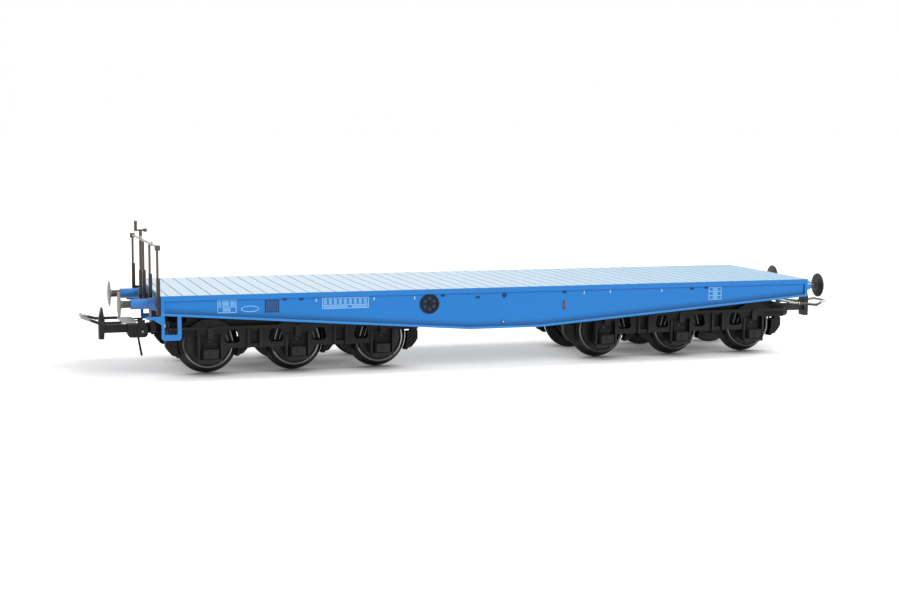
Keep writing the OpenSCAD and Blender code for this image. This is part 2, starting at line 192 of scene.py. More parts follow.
class WagonColours(bpy.types.PropertyGroup):
    """Colours of the finishes, in linear light."""
    blue: FloatVectorProperty(
        name="Blue", description="Paint of the sills, the ends and the deck's edges",
        subtype="COLOR", size=3, default=(0.009, 0.19, 0.575), min=0, max=1)
    # painted highlight: a lighter blue painted on the flange's outer face where light would catch its
    # edge
    flange: FloatVectorProperty(
        name="Flange", description="Lighter outer edge of the sill's lower flange",
        subtype="COLOR", size=3, default=(0.03, 0.235, 0.6), min=0, max=1)
    deck: FloatVectorProperty(
        name="Deck", description="Paint of the planks, a little lighter than the sides",
        subtype="COLOR", size=3, default=(0.025, 0.36, 0.65), min=0, max=1)
    # painted highlight: a pale colour in the grooves between the planks, lifting the shade that falls
    # in them
    groove_highlight: FloatVectorProperty(
        name="Groove", description="Pale paint in the grooves between the planks",
        subtype="COLOR", size=3, default=(0.38, 0.52, 0.66), min=0, max=1)
    black: FloatVectorProperty(
        name="Black", description="Moulded bogies and couplers",
        subtype="COLOR", size=3, default=(0.0115, 0.0112, 0.0108), min=0, max=1)
    bronze: FloatVectorProperty(
        name="Bronze", description="Railing posts and crank",
        subtype="COLOR", size=3, default=(0.095, 0.07, 0.056), min=0, max=1)
    brass: FloatVectorProperty(
        name="Brass", description="Top rail of the railing",
        subtype="COLOR", size=3, default=(0.42, 0.38, 0.28), min=0, max=1)
    gunmetal: FloatVectorProperty(
        name="Gunmetal", description="Wheels, axles, hangers and loop wire",
        subtype="COLOR", size=3, default=(0.085, 0.08, 0.072), min=0, max=1)
    buffer: FloatVectorProperty(
        name="Buffer", description="Buffer heads and their stems",
        subtype="COLOR", size=3, default=(0.19, 0.18, 0.155), min=0, max=1)
    # painted shade: a darker, warmer grey for the buffers at the plain end, whose seen faces turn away
    # from the light
    buffer_shade: FloatVectorProperty(
        name="Shadowed buffer", description="Buffer heads and stems at the plain end",
        subtype="COLOR", size=3, default=(0.075, 0.066, 0.05), min=0, max=1)
    steel: FloatVectorProperty(
        name="Steel", description="Wheel rings, links, rivets and the loop's clip",
        subtype="COLOR", size=3, default=(0.42, 0.41, 0.39), min=0, max=1)
    handwheel: FloatVectorProperty(
        name="Handwheel", description="Rim and spokes of a handwheel",
        subtype="COLOR", size=3, default=(0.006, 0.012, 0.02), min=0, max=1)
    plate_dark: FloatVectorProperty(
        name="Plate, dark", description="Darker spots of the plate behind a handwheel",
        subtype="COLOR", size=3, default=(0.02, 0.03, 0.05), min=0, max=1)
    plate_light: FloatVectorProperty(
        name="Plate, light", description="Lighter spots of the plate behind a handwheel",
        subtype="COLOR", size=3, default=(0.05, 0.065, 0.09), min=0, max=1)
    white: FloatVectorProperty(
        name="White", description="Painted outlines and ticks on the sides",
        subtype="COLOR", size=3, default=(0.36, 0.6, 0.88), min=0, max=1)
    pale: FloatVectorProperty(
        name="Pale blue", description="Blank cells inside the outlined boxes",
        subtype="COLOR", size=3, default=(0.14, 0.38, 0.72), min=0, max=1)
    # painted shade for the lashing eyes and behind the mesh bars, and the knobs' own deep blue
    shaded: FloatVectorProperty(
        name="Shaded blue", description="Lashing eyes, knobs and the back of the mesh plates",
        subtype="COLOR", size=3, default=(0.004, 0.05, 0.17), min=0, max=1)
    mesh: FloatVectorProperty(
        name="Mesh", description="Bars of the mesh plates",
        subtype="COLOR", size=3, default=(0.05, 0.13, 0.3), min=0, max=1)
    red: FloatVectorProperty(
        name="Red", description="Warning pin on the side",
        subtype="COLOR", size=3, default=(0.2, 0.03, 0.06), min=0, max=1)
    floor: FloatVectorProperty(
        name="Floor", description="Table under the wagon",
        subtype="COLOR", size=3, default=(0.85, 0.85, 0.85), min=0, max=1)


class WagonStage(bpy.types.PropertyGroup):
    """Camera, floor and light."""
    camera_place: FloatVectorProperty(
        name="Camera place", description="Where the camera stands",
        size=3, subtype="TRANSLATION", unit="LENGTH",
        default=(-104.98 * MM, -312.4 * MM, 49.11 * MM))
    camera_yaw: FloatProperty(
        name="Camera yaw", description="Turn of the view to the left of +Y",
        default=-0.3066, unit="ROTATION")
    camera_pitch: FloatProperty(
        name="Camera pitch", description="How far the view looks down",
        default=0.11246, unit="ROTATION")
    camera_roll: FloatProperty(
        name="Camera roll", description="Turn of the picture",
        default=0.00639, unit="ROTATION")
    camera_film: FloatProperty(
        name="Film", description="Width of the camera's sensor, in millimetres",
        default=36, unit="CAMERA")
    camera_lens: FloatProperty(
        name="Lens", description="Focal length on that sensor, in millimetres",
        default=62.4, unit="CAMERA")
    sky_strength: FloatProperty(
        name="Sky strength", description="Soft light from all around", default=0.4, min=0)
    floor_reach: FloatProperty(
        name="Floor reach", description="How far the floor goes out from the middle",
        default=6, unit="LENGTH")
    floor_glow: FloatProperty(
        name="Floor glow", description="What the open floor adds to its own tone for the eye",
        default=0.47, min=0)
    floor_nook: FloatProperty(
        name="Floor nook", description="How near a thing stands over the floor to dim that glow",
        default=12 * MM, unit="LENGTH")
    floor_core: FloatProperty(
        name="Floor core", description="How near a thing stands to shade the floor itself",
        default=10 * MM, unit="LENGTH")
    floor_side: FloatVectorProperty(
        name="Floor side", description="The side to which the floor has to lie open",
        size=3, subtype="DIRECTION", default=(0.88, 0.22, 0.42))
    key_strength: FloatProperty(
        name="Key strength", description="Strength of the broad light from the front right",
        default=2.12, min=0)
    key_from: FloatVectorProperty(
        name="Key from", description="Where the broad light comes from",
        size=3, subtype="DIRECTION", default=(0.62, -0.58, 0.5))
    key_spread: FloatProperty(
        name="Key spread", description="Angle over which the broad light is spread",
        default=math.radians(28), unit="ROTATION")
    side_strength: FloatProperty(
        name="Side strength", description="Strength of the light from the plain end",
        default=1.65, min=0)
    side_from: FloatVectorProperty(
        name="Side from", description="Where the light from the plain end comes from",
        size=3, subtype="DIRECTION", default=(0.8, 0.1, 0.75))
    side_spread: FloatProperty(
        name="Side spread", description="Angle over which that light is spread",
        default=math.radians(28), unit="ROTATION")


SETTINGS = (("wagon_sizes", WagonSizes), ("wagon_colours", WagonColours),
            ("wagon_stage", WagonStage))


def sizes():
    """The sizes that the user has set."""
    return bpy.context.scene.wagon_sizes


def colours():
    """The colours that the user has set."""
    return bpy.context.scene.wagon_colours


# Node trees written as expressions

class Sock:
    """A value socket that takes part in Python expressions."""

    def __init__(self, tree, socket):
        self.tree, self.socket = tree, socket

    def _math(self, operation, *values):
        return self.tree.add("ShaderNodeMath", {"operation": operation}, dict(enumerate(values)))

    def __add__(self, other):
        return self._math("ADD", self, other)

    def __radd__(self, other):
        return self._math("ADD", other, self)

    def __sub__(self, other):
        return self._math("SUBTRACT", self, other)

    def __rsub__(self, other):
        return self._math("SUBTRACT", other, self)

    def __mul__(self, other):
        return self._math("MULTIPLY", self, other)

    def __rmul__(self, other):
        return self._math("MULTIPLY", other, self)

    def __truediv__(self, other):
        return self._math("DIVIDE", self, other)

    def __rtruediv__(self, other):
        return self._math("DIVIDE", other, self)

    def __pow__(self, other):
        return self._math("POWER", self, other)

    def __rpow__(self, other):
        return self._math("POWER", other, self)

    def __abs__(self):
        return self._math("ABSOLUTE", self)

    def __round__(self):
        return self._math("ROUND", self)

    def floor(self):
        """The whole number below."""
        return self._math("FLOOR", self)

    def at_least(self, other):
        """The greater of the two."""
        return self._math("MAXIMUM", self, other)

    def above(self, limit, soft=0.0):
        """1 above the limit, 0 below, with a soft step of that width to each side."""
        if soft:
            return self.tree.add(
                "ShaderNodeMapRange", {"interpolation_type": "SMOOTHSTEP"},
                {"Value": self, "From Min": limit - soft, "From Max": limit + soft})
        return self._math("GREATER_THAN", self, limit)

    def below(self, limit, soft=0.0):
        """1 below the limit, 0 above."""
        return 1 - self.above(limit, soft)

    def held(self):
        """The value, held between 0 and 1."""
        return self.tree.add("ShaderNodeClamp", None, {"Value": self})


class Tree:
    """Adds nodes to a shader or geometry tree."""

    def __init__(self, tree):
        self.tree = tree

    def add(self, kind, settings=None, values=None):
        """One node: its settings first, then the values or links of its sockets.

        Gives its first output, or the node where it has none."""
        node = self.tree.nodes.new(kind)
        for name, value in (settings or {}).items():
            setattr(node, name, value)
        for name, value in (values or {}).items():
            self.put(node.inputs[name], value)
        if not node.outputs:
            return node
        return Sock(self, next(output for output in node.outputs if output.enabled))

    def put(self, socket, value):
        """Links a socket, or sets its value."""
        if isinstance(value, Sock):
            self.tree.links.new(value.socket, socket)
        else:
            socket.default_value = value

    def output(self, sock, name):
        """Another output of the same node."""
        return Sock(self, sock.socket.node.outputs[name])


def shade(colour, factor):
    """A colour made darker or lighter."""
    return tuple(min(1.0, channel * factor) for channel in colour)


class Finish(Tree):
    """A procedural material around one Principled shader."""

    def __init__(self, name, colour, roughness, metallic=0.0, coat=0.0):
        self.material = bpy.data.materials.new(name)
        self.material.use_nodes = True
        super().__init__(self.material.node_tree)
        self.shader = self.tree.nodes["Principled BSDF"]
        self.set(base_color=(*colour, 1), roughness=roughness, metallic=metallic,
                 coat_weight=coat)

    def set(self, **values):
        """Sets or links the shader's sockets, named in small letters."""
        for name, value in values.items():
            label = name.replace("_", " ").title().replace("Ior", "IOR")
            self.put(self.shader.inputs[label], value)

    def point(self):
        """A point on the piece, as a vector in metres."""
        return self.output(self.add("ShaderNodeTexCoord"), "Object")

    def place(self, axes="XYZ"):
        """That point's distance along each of the axes, in metres."""
        split = self.add("ShaderNodeSeparateXYZ", None, {"Vector": self.point()})
        return [self.output(split, axis) for axis in axes]

    def noise(self, waves, detail=3.0, stretch=(1, 1, 1)):
        """Noise of that many waves in a metre, drawn out along the axes with a small stretch."""
        mapped = self.add("ShaderNodeMapping", None, {"Vector": self.point(), "Scale": stretch})
        return self.add("ShaderNodeTexNoise", {"noise_dimensions": "3D"},
                        {"Vector": mapped, "Scale": waves, "Detail": detail})

    def rough(self, waves, least, spread):
        """Roughness from the least value up, by a noise of that many waves in a metre."""
        return self.noise(waves) * spread + least

    def blend(self, mask, first, second):
        """A colour between two, by a mask."""
        first, second = (value if isinstance(value, Sock) else (*value, 1)
                         for value in (first, second))
        return self.add("ShaderNodeMix", {"data_type": "RGBA"}, {0: mask, 6: first, 7: second})

    def mottle(self, mask, colour, low, high):
        """A colour between two shades of itself, by a mask."""
        return self.blend(mask, shade(colour, low), shade(colour, high))

    def bump(self, height, strength, distance=0.05 * MM):
        """A raised surface, by a height from 0 to 1."""
        self.set(normal=self.add("ShaderNodeBump", None, {
            "Height": height, "Strength": strength, "Distance": distance}))


# Finishes

FINISHES = {}


def make_blue():
    """Satin blue paint."""
    blue = colours().blue
    finish = Finish("blue paint", blue, 0.42)
    finish.set(base_color=finish.mottle(finish.noise(60), blue, 0.95, 1.05),
               roughness=finish.rough(420, 0.38, 0.1))
    finish.bump(finish.noise(2600), 0.05)
    return finish


def make_gloss():
    """Glossy blue of the buffer housings."""
    finish = Finish("glossy blue", colours().blue, 0.4, coat=0.35)
    finish.set(roughness=finish.rough(420, 0.36, 0.1), coat_roughness=0.12, coat_ior=1.7)
    return finish


def make_sill():
    """Blue sills with a painted shade in the corner above the flange and a painted highlight on the
    flange's outer face.
    """
    s, blue = sizes(), colours().blue
    finish = Finish("sill paint", blue, 0.42)
    x, y, z = finish.place()
    half_flat = s.sill_flat / 2
    run = ((abs(x) - half_flat) / (DECK_HIGH.x - half_flat)).at_least(0)
    over = z - run * (s.sill_end - SILL_LOW.z) - (SILL_LOW.z + s.sill_flange)
    edge = abs(y).above(DECK_HIGH.y - s.sill_recess / 2)
    # painted shade: the web just above the flange is darkened to half, where the corner lies in shade
    corner = over.below(0.75 * MM, 0.7 * MM) * (1 - edge)
    web = finish.mottle(finish.noise(60), blue, 0.95, 1.05)
    web = finish.blend(corner, web, shade(blue, 0.52))
    # painted highlight: the flange's outer face takes the lighter flange colour, as if its edge caught
    # the light
    finish.set(base_color=finish.blend(edge * over.below(0.05 * MM), web, colours().flange),
               roughness=finish.rough(420, 0.38, 0.1), specular_ior_level=0.35)
    return finish


def make_deck_blue():
    """Glossy blue planks, each with its own tone on top, duller towards the plain end, with a painted
    highlight in the grooves.
    """
    deck = colours().deck
    finish = Finish("blue planks", deck, 0.34)
    x, y, z = finish.place()
    plank = ((x - DECK_LOW.x) / sizes().plank + 0.5).floor()
    tone = finish.add("ShaderNodeTexWhiteNoise", {"noise_dimensions": "1D"}, {"W": plank})
    planks = finish.mottle(tone, deck, 0.93, 1.08)
    on_top = z.above(DECK_HIGH.z - 0.02 * MM)
    # painted highlight: the groove walls below the plank tops take the pale groove colour in place of
    # their shade
    groove_highlight = z.above(DECK_HIGH.z - 0.3 * MM) * abs(y).below(DECK_HIGH.y - 0.01 * MM)
    sides = finish.blend(groove_highlight, colours().blue, colours().groove_highlight)
    grain = finish.noise(900, 4.0, (1, 0.06, 1))
    worn = x.above(0.35 * DECK_HIGH.x, 0.75 * DECK_HIGH.x)
    finish.set(base_color=finish.blend(on_top, sides, planks),
               roughness=0.5 - on_top * (0.26 - grain * 0.14),
               coat_weight=(1 - worn * 0.5) * on_top, coat_roughness=0.08, coat_ior=2.05,
               specular_ior_level=0.4)
    finish.bump(grain * on_top, 0.06)
    return finish


def moulding(name, shine):
    """Black moulding with a fine grain, before its colour."""
    finish = Finish(name, colours().black, 0.5)
    finish.set(roughness=finish.rough(350, 0.44, 0.16), specular_ior_level=shine)
    finish.bump(finish.noise(3200), 0.08)
    return finish


def make_black():
    """Black moulding of the couplers and the frame below the deck."""
    finish = moulding("black moulding", 0.34)
    speckle = finish.noise(900, 4.0)
    finish.set(base_color=finish.mottle(speckle, colours().black, 0.75, 1.3))
    return finish


def make_bogie():
    """Black moulding, with painted shade that darkens the hollows of the side frames."""
    finish = moulding("bogie moulding", 0.2)
    [y] = finish.place("Y")
    raised = abs(y).above(SIDES_HIGH.y - 0.75 * MM, 0.5 * MM)
    face = finish.mottle(finish.noise(900, 4.0), colours().black, 1.2, 2.0)
    # painted shade: faces behind the side frames' outer faces get a much darker black, as shade in the
    # hollows
    finish.set(base_color=finish.blend(raised, shade(colours().black, 0.3), face))
    return finish


def make_handwheel():
    """Dark rim and spokes in front of a greyer plate."""
    tint = colours()
    finish = Finish("handwheel", tint.black, 0.5)
    [y] = finish.place("Y")
    plate = abs(y).below(DECK_HIGH.y - sizes().sill_recess * 0.6)
    spots = finish.blend(finish.noise(1400), tint.plate_dark, tint.plate_light)
    finish.set(base_color=finish.blend(plate, tint.handwheel, spots), specular_ior_level=0.15)
    return finish


def make_bronze():
    """Dark bronze posts in darker sleeves, with a thin brass rail between its end blocks."""
    bronze = colours().bronze
    finish = Finish("bronze", bronze, 0.4, metallic=0.4)
    y, z = finish.place("YZ")
    patch = finish.noise(500)
    sleeve = z.below(RAIL_LOW.z + 0.5 * (RAIL_HIGH.z - RAIL_LOW.z), 0.6 * MM)
    dark = finish.blend(sleeve, finish.mottle(patch, bronze, 0.8, 1.2), shade(bronze, 0.42))
    rail_z = RAIL_HIGH.z - 0.6 * MM
    rail = (z.above(rail_z - 0.22 * MM) * z.below(RAIL_HIGH.z + 0.02 * MM)
            * abs(y).below(DECK_HIGH.y - 1.05 * MM))
    finish.set(base_color=finish.blend(rail, dark, colours().brass),
               roughness=patch * 0.15 + 0.34)
    return finish


def make_gunmetal():
    """Dark metal of the axles and hangers."""
    gunmetal = colours().gunmetal
    finish = Finish("gunmetal", gunmetal, 0.4, metallic=0.75)
    finish.set(base_color=finish.mottle(finish.noise(380), gunmetal, 0.8, 1.2),
               roughness=finish.rough(900, 0.34, 0.14))
    return finish


def make_buffer():
    """Grey steel heads on darker stems, with painted shade on heads and stems at the plain end."""
    grey = colours().buffer
    finish = Finish("buffer steel", grey, 0.4, metallic=0.5)
    [x] = finish.place("X")
    head = finish.mottle(finish.noise(500), grey, 0.85, 1.15)
    stem = abs(x).below(DECK_HIGH.x + 6.45 * MM)
    bare = finish.blend(stem, head, shade(grey, 0.4))
    # painted shade: at the plain end the heads and stems take the darker, warmer grey
    finish.set(base_color=finish.blend(x.above(0), bare, colours().buffer_shade),
               roughness=finish.rough(900, 0.34, 0.14))
    return finish


def make_wheel():
    """Near black wheels with a thin bright ring on the rim's face, which is painted darker at the plain
    end as shade.
    """
    gunmetal, steel = colours().gunmetal, colours().steel
    finish = Finish("wheel metal", gunmetal, 0.42, metallic=0.3)
    x, y, z = finish.place()
    along = abs(x) - PIVOT_X
    along = along - round(along / AXLE_SPACING) * AXLE_SPACING
    up = z - AXLE_Z
    radius = (along * along + up * up) ** 0.5
    face = abs(y).above(WHEEL_HIGH.y - 0.06 * MM)
    ring = radius.above(sizes().ring_inside) * radius.below(sizes().ring_outside) * face
    # painted shade: the ring's steel is dimmed at the plain end, standing in for the darker reflection
    # there
    bright = finish.blend(x.above(0), shade(steel, 0.9), shade(steel, 0.36))
    finish.set(base_color=finish.blend(ring, shade(gunmetal, 0.27), bright),
               metallic=ring * 0.7 + 0.2,
               roughness=finish.rough(600, 0.36, 0.12) - ring * 0.16, specular_ior_level=0.35)
    # the ring is a chamfer: its surface leans outwards from the axle
    lean = finish.add("ShaderNodeCombineXYZ", None,
                      {"X": along / radius * ring, "Z": up / radius * ring})
    lean = finish.add(
        "ShaderNodeVectorTransform",
        {"vector_type": "VECTOR", "convert_from": "OBJECT", "convert_to": "WORLD"},
        {"Vector": lean})
    straight = finish.output(finish.add("ShaderNodeNewGeometry"), "Normal")
    tilted = finish.add("ShaderNodeVectorMath", {"operation": "MULTIPLY_ADD"},
                        {0: lean, 1: (0.45, 0.45, 0.45), 2: straight})
    finish.set(normal=finish.add("ShaderNodeVectorMath", {"operation": "NORMALIZE"}, {0: tilted}))
    return finish


def make_loop():
    """Dark wire with a pale flat clip and a worn nose."""
    gunmetal, steel = colours().gunmetal, colours().steel
    finish = Finish("loop wire", gunmetal, 0.36, metallic=0.6)
    x, z = finish.place("XZ")
    out = abs(x)
    clip = (out.above(LOOP_X + 1.45 * MM) * out.below(LOOP_X + 4.35 * MM)
            * z.above(LOOP_Z + 1.2 * MM))
    nose = out.above(HOOK_HIGH.x + 1.9 * MM, 0.4 * MM)
    wire = finish.blend(nose, shade(gunmetal, 0.32), shade(steel, 0.8))
    finish.set(base_color=finish.blend(clip, wire, shade(steel, 0.95)),
               roughness=finish.rough(900, 0.32, 0.12))
    return finish


def make_link():
    """Dull steel of the spring links, darker at the plain end."""
    steel = colours().steel
    finish = Finish("link steel", steel, 0.45, metallic=0.4)
    [x] = finish.place("X")
    finish.set(base_color=finish.mottle(x.above(0), steel, 0.42, 0.2),
               roughness=finish.rough(900, 0.4, 0.15))
    return finish


def make_white():
    """White paint, thin in places."""
    white = colours().white
    finish = Finish("white mark", white, 0.5)
    finish.set(base_color=finish.mottle(finish.noise(1500), white, 0.9, 1.05))
    return finish


def plain(name, colour, roughness, least, spread=0.1, metallic=0.0):
    """One colour with a gloss that varies a little."""
    finish = Finish(name, colour, roughness, metallic)
    finish.set(roughness=finish.rough(900, least, spread))
    return finish


def make_steel():
    """Bright steel of the rivets."""
    return plain("bright steel", colours().steel, 0.36, 0.3, 0.15, metallic=0.8)


def make_pale():
    """Pale paint of the blank cells."""
    return plain("pale blue mark", colours().pale, 0.5, 0.45)


def make_shade():
    """Deep blue: painted shade in the small openings and behind the mesh bars, and the knobs' own
    colour.
    """
    finish = plain("shaded blue", colours().shaded, 0.55, 0.5)
    finish.set(specular_ior_level=0.2)
    return finish


def make_mesh():
    """Worn paint on the bars of the mesh plate."""
    return plain("mesh paint", colours().mesh, 0.5, 0.45)


def make_red():
    """Red paint of the warning pins."""
    return plain("red pin", colours().red, 0.4, 0.38)


MAKERS = {
    "blue": make_blue, "deck": make_deck_blue, "black": make_black, "bronze": make_bronze,
    "gunmetal": make_gunmetal, "wheel": make_wheel, "loop": make_loop, "steel": make_steel,
    "white": make_white, "shade": make_shade, "red": make_red, "gloss": make_gloss,
    "sill": make_sill, "bogie": make_bogie, "handwheel": make_handwheel, "buffer": make_buffer,
    "link": make_link, "mesh": make_mesh, "pale": make_pale,
}

FINISH_OF = {
    "deck": "deck", "side_sill": "sill", "buffer_heads": "buffer", "buffer_housings": "gloss",
    "railing": "bronze", "handbrake_crank": "bronze", "handwheels": "handwheel", "loop": "loop",
    "bogie": "bogie", "wheels": "wheel", "axle": "gunmetal", "coupler": "black",
    "centre_sills": "black", "bolsters": "black", "cross_bearers": "black",
}


def finish_of(node):
    """The finish of a CAD node, by the start of its name."""
    return next((finish for start, finish in FINISH_OF.items() if node.startswith(start)), "blue")


# Meshes of small pieces

def new_object(name, data):
    """An object in the scene with that data."""
    thing = bpy.data.objects.new(name, data)
    bpy.context.scene.collection.objects.link(thing)
    return thing


def add_box(mesh, low, high):
    """A box between two corners."""
    low, high = Vector(low), Vector(high)
    place = Matrix.Translation((low + high) / 2) @ Matrix.Diagonal((*(high - low), 1))
    bmesh.ops.create_cube(mesh, size=1, matrix=place)


def add_disc(mesh, centre, radius, depth, sides=24):
    """A short rod across the wagon, about its middle."""
    place = Matrix.Translation(Vector(centre)) @ Matrix.Rotation(math.pi / 2, 4, "X")
    bmesh.ops.create_cone(mesh, cap_ends=True, segments=sides, radius1=radius, radius2=radius,
                          depth=depth, matrix=place)


def add_band(mesh, outer, inner, front, back):
    """A closed flat band between two outlines of (x, z) points, from the front to the back y."""
    front_out, front_in, back_out, back_in = (
        [mesh.verts.new((x, y, z)) for x, z in line]
        for y in (front, back) for line in (outer, inner))
    for first, second in ((front_out, front_in), (back_in, back_out),
                          (front_in, back_in), (back_out, front_out)):
        for i in range(len(first)):
            j = (i + 1) % len(first)
            mesh.faces.new((first[i], first[j], second[j], second[i]))


def both_sides(build):
    """Runs a builder for the right side and adds its mirror image on the left side."""
    mesh = bmesh.new()
    build(mesh)
    copy = bmesh.ops.duplicate(mesh, geom=mesh.verts[:] + mesh.edges[:] + mesh.faces[:])["geom"]
    bmesh.ops.transform(mesh, matrix=Matrix.Scale(-1, 4, (0, 1, 0)),
                        verts=[part for part in copy if isinstance(part, bmesh.types.BMVert)])
    bmesh.ops.reverse_faces(
        mesh, faces=[part for part in copy if isinstance(part, bmesh.types.BMFace)])
    return mesh


def new_piece(name, mesh, finish, body):
    """Makes a piece from a bmesh, paints it and lets it ride on a body."""
    bmesh.ops.recalc_face_normals(mesh, faces=mesh.faces)
    data = bpy.data.meshes.new(name)
    mesh.to_mesh(data)
    mesh.free()
    piece = new_object(name, data)
    data.materials.append(FINISHES[finish].material)
    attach(piece, body)


# Geometry Nodes: one shape on many points

class Repeat(Tree):
    """A geometry tree that sets one shape on the points of a mesh, turned as each point says."""

    def __init__(self, name, inputs):
        super().__init__(bpy.data.node_groups.new(name, "GeometryNodeTree"))
        face = self.tree.interface
        face.new_socket("Geometry", in_out="INPUT", socket_type="NodeSocketGeometry")
        self.ids = {}
        for label, kind in (*inputs, ("Material", "NodeSocketMaterial")):
            self.ids[label] = face.new_socket(label, in_out="INPUT", socket_type=kind).identifier
        face.new_socket("Geometry", in_out="OUTPUT", socket_type="NodeSocketGeometry")
        self.start = self.add("NodeGroupInput").socket.node

    def given(self, label):
        """An input of the tree."""
        return Sock(self, self.start.outputs[label])

    def end(self, shape):
        """Sets the shape on the points, makes it real and paints it."""
        turn = self.add("GeometryNodeInputNamedAttribute", {"data_type": "FLOAT_VECTOR"},
                        {"Name": "turn"})
        rotation = self.add("FunctionNodeEulerToRotation", None, {"Euler": turn})
        placed = self.add("GeometryNodeInstanceOnPoints", None, {
            "Points": self.given("Geometry"), "Instance": shape, "Rotation": rotation})
        real = self.add("GeometryNodeRealizeInstances", None, {"Geometry": placed})
        painted = self.add("GeometryNodeSetMaterial", None,
                           {"Geometry": real, "Material": self.given("Material")})
        self.add("NodeGroupOutput", None, {"Geometry": painted})
        return self


def bars():
    """Small bars of one size."""
    tree = Repeat("bars", [("Size", "NodeSocketVector")])
    return tree.end(tree.add("GeometryNodeMeshCube", None, {"Size": tree.given("Size")}))


def studs():
    """Short rods of one radius and height."""
    tree = Repeat("studs", [("Radius", "NodeSocketFloat"), ("Height", "NodeSocketFloat"),
                            ("Sides", "NodeSocketInt")])
    return tree.end(tree.add("GeometryNodeMeshCylinder", None, {
        "Vertices": tree.given("Sides"), "Radius": tree.given("Radius"),
        "Depth": tree.given("Height")}))


def leaf_stacks():
    """Stacks of leaves, each one shorter than the one below it."""
    tree = Repeat("leaf stacks", [("Leaf", "NodeSocketVector"), ("Rise", "NodeSocketVector"),
                                  ("Leaves", "NodeSocketInt"), ("Shorter", "NodeSocketFloat")])
    line = tree.add("GeometryNodeMeshLine", {"mode": "OFFSET"},
                    {"Count": tree.given("Leaves"), "Offset": tree.given("Rise")})
    share = 1 - tree.add("GeometryNodeInputIndex") * tree.given("Shorter")
    scale = tree.add("ShaderNodeCombineXYZ", None, {"X": share, "Y": 1.0, "Z": 1.0})
    leaf = tree.add("GeometryNodeMeshCube", None, {"Size": tree.given("Leaf")})
    return tree.end(tree.add("GeometryNodeInstanceOnPoints", None, {
        "Points": line, "Instance": leaf, "Scale": scale}))


def repeat_piece(name, points, repeat, values, finish, body):
    """Runs a geometry tree on points, each (place, turn), and keeps the result as a plain mesh."""
    data = bpy.data.meshes.new(name)
    data.from_pydata([place for place, turn in points], [], [])
    turns = data.attributes.new("turn", "FLOAT_VECTOR", "POINT")
    turns.data.foreach_set("vector", [angle for place, turn in points for angle in turn])
    piece = new_object(name, data)
    modifier = piece.modifiers.new(name, "NODES")
    modifier.node_group = repeat.tree
    for label, value in {**values, "Material": FINISHES[finish].material}.items():
        modifier[repeat.ids[label]] = value
    evaluated = piece.evaluated_get(bpy.context.evaluated_depsgraph_get())
    result = bpy.data.meshes.new_from_object(evaluated)
    result.name = name
    piece.modifiers.clear()
    piece.data = result
    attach(piece, body)


# Operators

class WAGON_OT_finishes(bpy.types.Operator):
    """Make the finishes and paint the CAD nodes"""
    bl_idname = "wagon.finishes"
    bl_label = "Finishes"

    def execute(self, context):
        for name, maker in MAKERS.items():
            FINISHES[name] = maker()
        for node, piece in frame["nodes"].items():
            piece.data.materials.clear()
            piece.data.materials.append(FINISHES[finish_of(node)].material)
        return {"FINISHED"}


class WAGON_OT_spring_links(bpy.types.Operator):
    """Hang two slanted spring links in each side frame window"""
    bl_idname = "wagon.spring_links"
    bl_label = "Spring links"

    def execute(self, context):
        s = sizes()
        link_y, link_z = SIDES_HIGH.y - 1.3 * MM, AXLE_Z + 1.6 * MM
        for name, finish, from_axle, thickness in (
                ("links", "link", 4.2 * MM, s.link_thickness),
                ("hangers", "gunmetal", 3.25 * MM, s.link_thickness * 0.8)):
            size = (thickness, thickness, s.link_length)
            for letter, axles in AXLES.items():
                # the outer axles have a window on their inner side only
                windows = [(axle.x + way * from_axle, way) for number, axle in enumerate(axles)
                           for way in BOTH if number - 1 != way]
                points = [((x, side * link_y, link_z), (0, -way * s.link_lean, 0))
                          for x, way in windows for side in BOTH]
                repeat_piece(f"bogie_{letter}_{name}", points, bars(), {"Size": size},
                             finish, f"bogie_{letter}")
        return {"FINISHED"}


class WAGON_OT_leaf_springs(bpy.types.Operator):
    """Lay a leaf spring over each axle box, on the side frame's top bar"""
    bl_idname = "wagon.leaf_springs"
    bl_label = "Leaf springs"

    def execute(self, context):
        s = sizes()
        spring_y = SIDES_HIGH.y - 0.9 * MM
        lowest_z = AXLE_Z + 3.6 * MM + s.leaf_thickness * 0.45
        spring = {"Leaf": (s.leaf_length, s.leaf_width, s.leaf_thickness * 0.92),
                  "Rise": (0, 0, s.leaf_thickness), "Leaves": 4, "Shorter": 0.17}
        for letter, axles in AXLES.items():
            points = [((axle.x, side * spring_y, lowest_z), STRAIGHT)
                      for axle in axles for side in BOTH]
            repeat_piece(f"bogie_{letter}_leaf_springs", points, leaf_stacks(), spring,
                         "bogie", f"bogie_{letter}")
        return {"FINISHED"}


class WAGON_OT_end_plates(bpy.types.Operator):
    """Deepen the ends of the side frames' top bars, and set short beams across the bogie's ends"""
    bl_idname = "wagon.end_plates"
    bl_label = "End plates"

    def execute(self, context):
        plate = Vector((5.1 * MM, 0.66 * MM, 1.4 * MM))
        plate_place = (AXLE_SPACING + 2.6 * MM + plate.x / 2, SIDES_HIGH.y - 1.75 * MM,
                       AXLE_Z + 2.35 * MM)
        beam = Vector((0.5 * MM, 4.6 * MM, 1.5 * MM))
        beam_place = ((SIDES_HIGH.x - SIDES_LOW.x - beam.x - 0.04 * MM) / 2, 7.7 * MM,
                      AXLE_Z + 2.7 * MM)
        for letter, axles in AXLES.items():
            for name, size, (x, y, z) in (("end_plates", plate, plate_place),
                                          ("end_beams", beam, beam_place)):
                points = [((axles[1].x + way * x, side * y, z), STRAIGHT)
                          for way in BOTH for side in BOTH]
                repeat_piece(f"bogie_{letter}_{name}", points, bars(), {"Size": size},
                             "bogie", f"bogie_{letter}")
        return {"FINISHED"}


